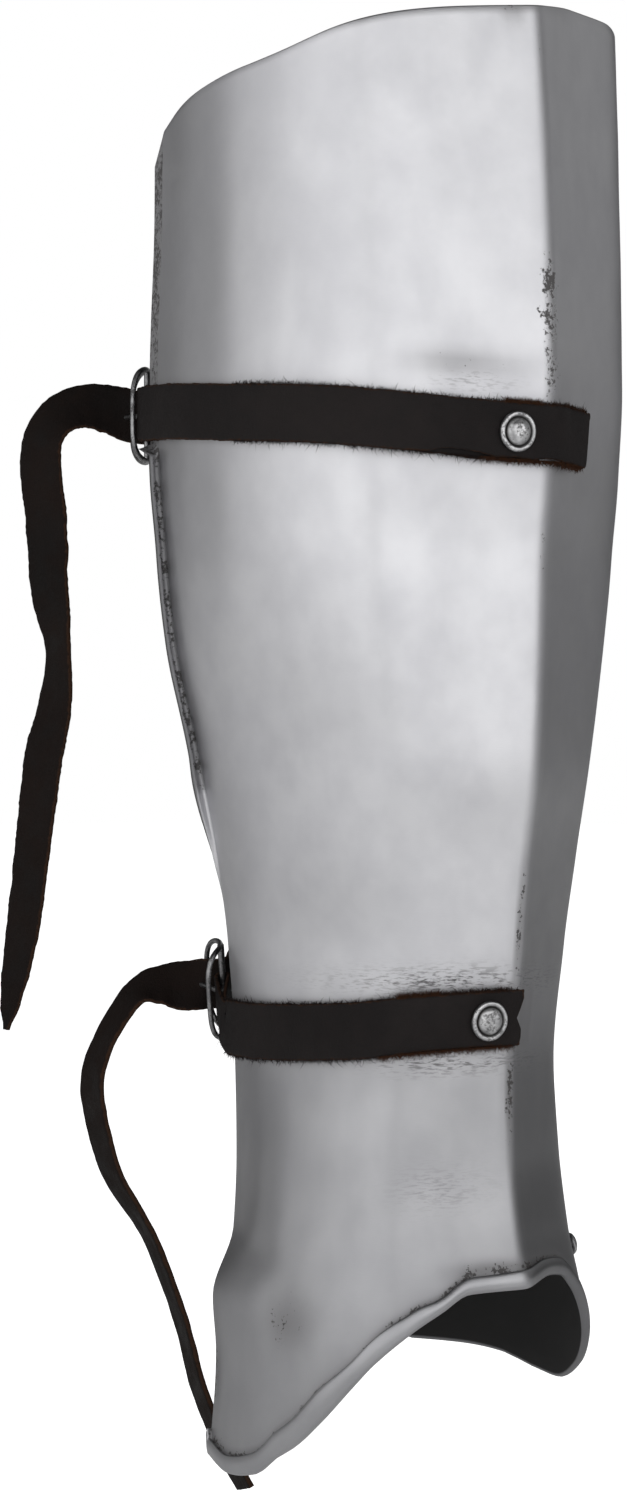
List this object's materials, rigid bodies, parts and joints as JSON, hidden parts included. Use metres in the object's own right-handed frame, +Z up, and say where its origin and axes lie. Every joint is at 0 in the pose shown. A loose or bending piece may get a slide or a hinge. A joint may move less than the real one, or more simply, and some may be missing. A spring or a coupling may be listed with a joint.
{
  "type": "greave",
  "caption": "Plate greave for the lower leg with a ridged shin, a folded lower rim and leather straps that buckle behind the calf.",
  "frame": {"origin": "on the leg's axis at mid height of the plate, inside the hollow", "axes": "+Z up along the leg, -Y forward through the ridge of the shin, -X out to the wing with the buckles, +X in to the other wing"},
  "size_m": [0.1307, 0.1681, 0.4336],
  "materials": {
    "plate_steel": "worn satin, polished by hand, with scuffs and dark specks",
    "fitting_steel": "worn satin, darker in the grooves",
    "strap_leather": "dull dark leather, cracked, with frayed brown edges"
  },
  "bodies": {
    "root": {"greave_plate": "plate_steel", "upper_buckle_strap": "strap_leather", "lower_buckle_strap": "strap_leather", "upper_long_strap": "strap_leather", "lower_long_strap": "strap_leather", "upper_buckle_frame": "fitting_steel", "lower_buckle_frame": "fitting_steel", "upper_buckle_prong": "fitting_steel", "lower_buckle_prong": "fitting_steel", "upper_near_rivet": "fitting_steel", "lower_near_rivet": "fitting_steel", "upper_far_rivet": "fitting_steel", "lower_far_rivet": "fitting_steel", "rim_stud": "fitting_steel"}
  },
  "joints": []
}
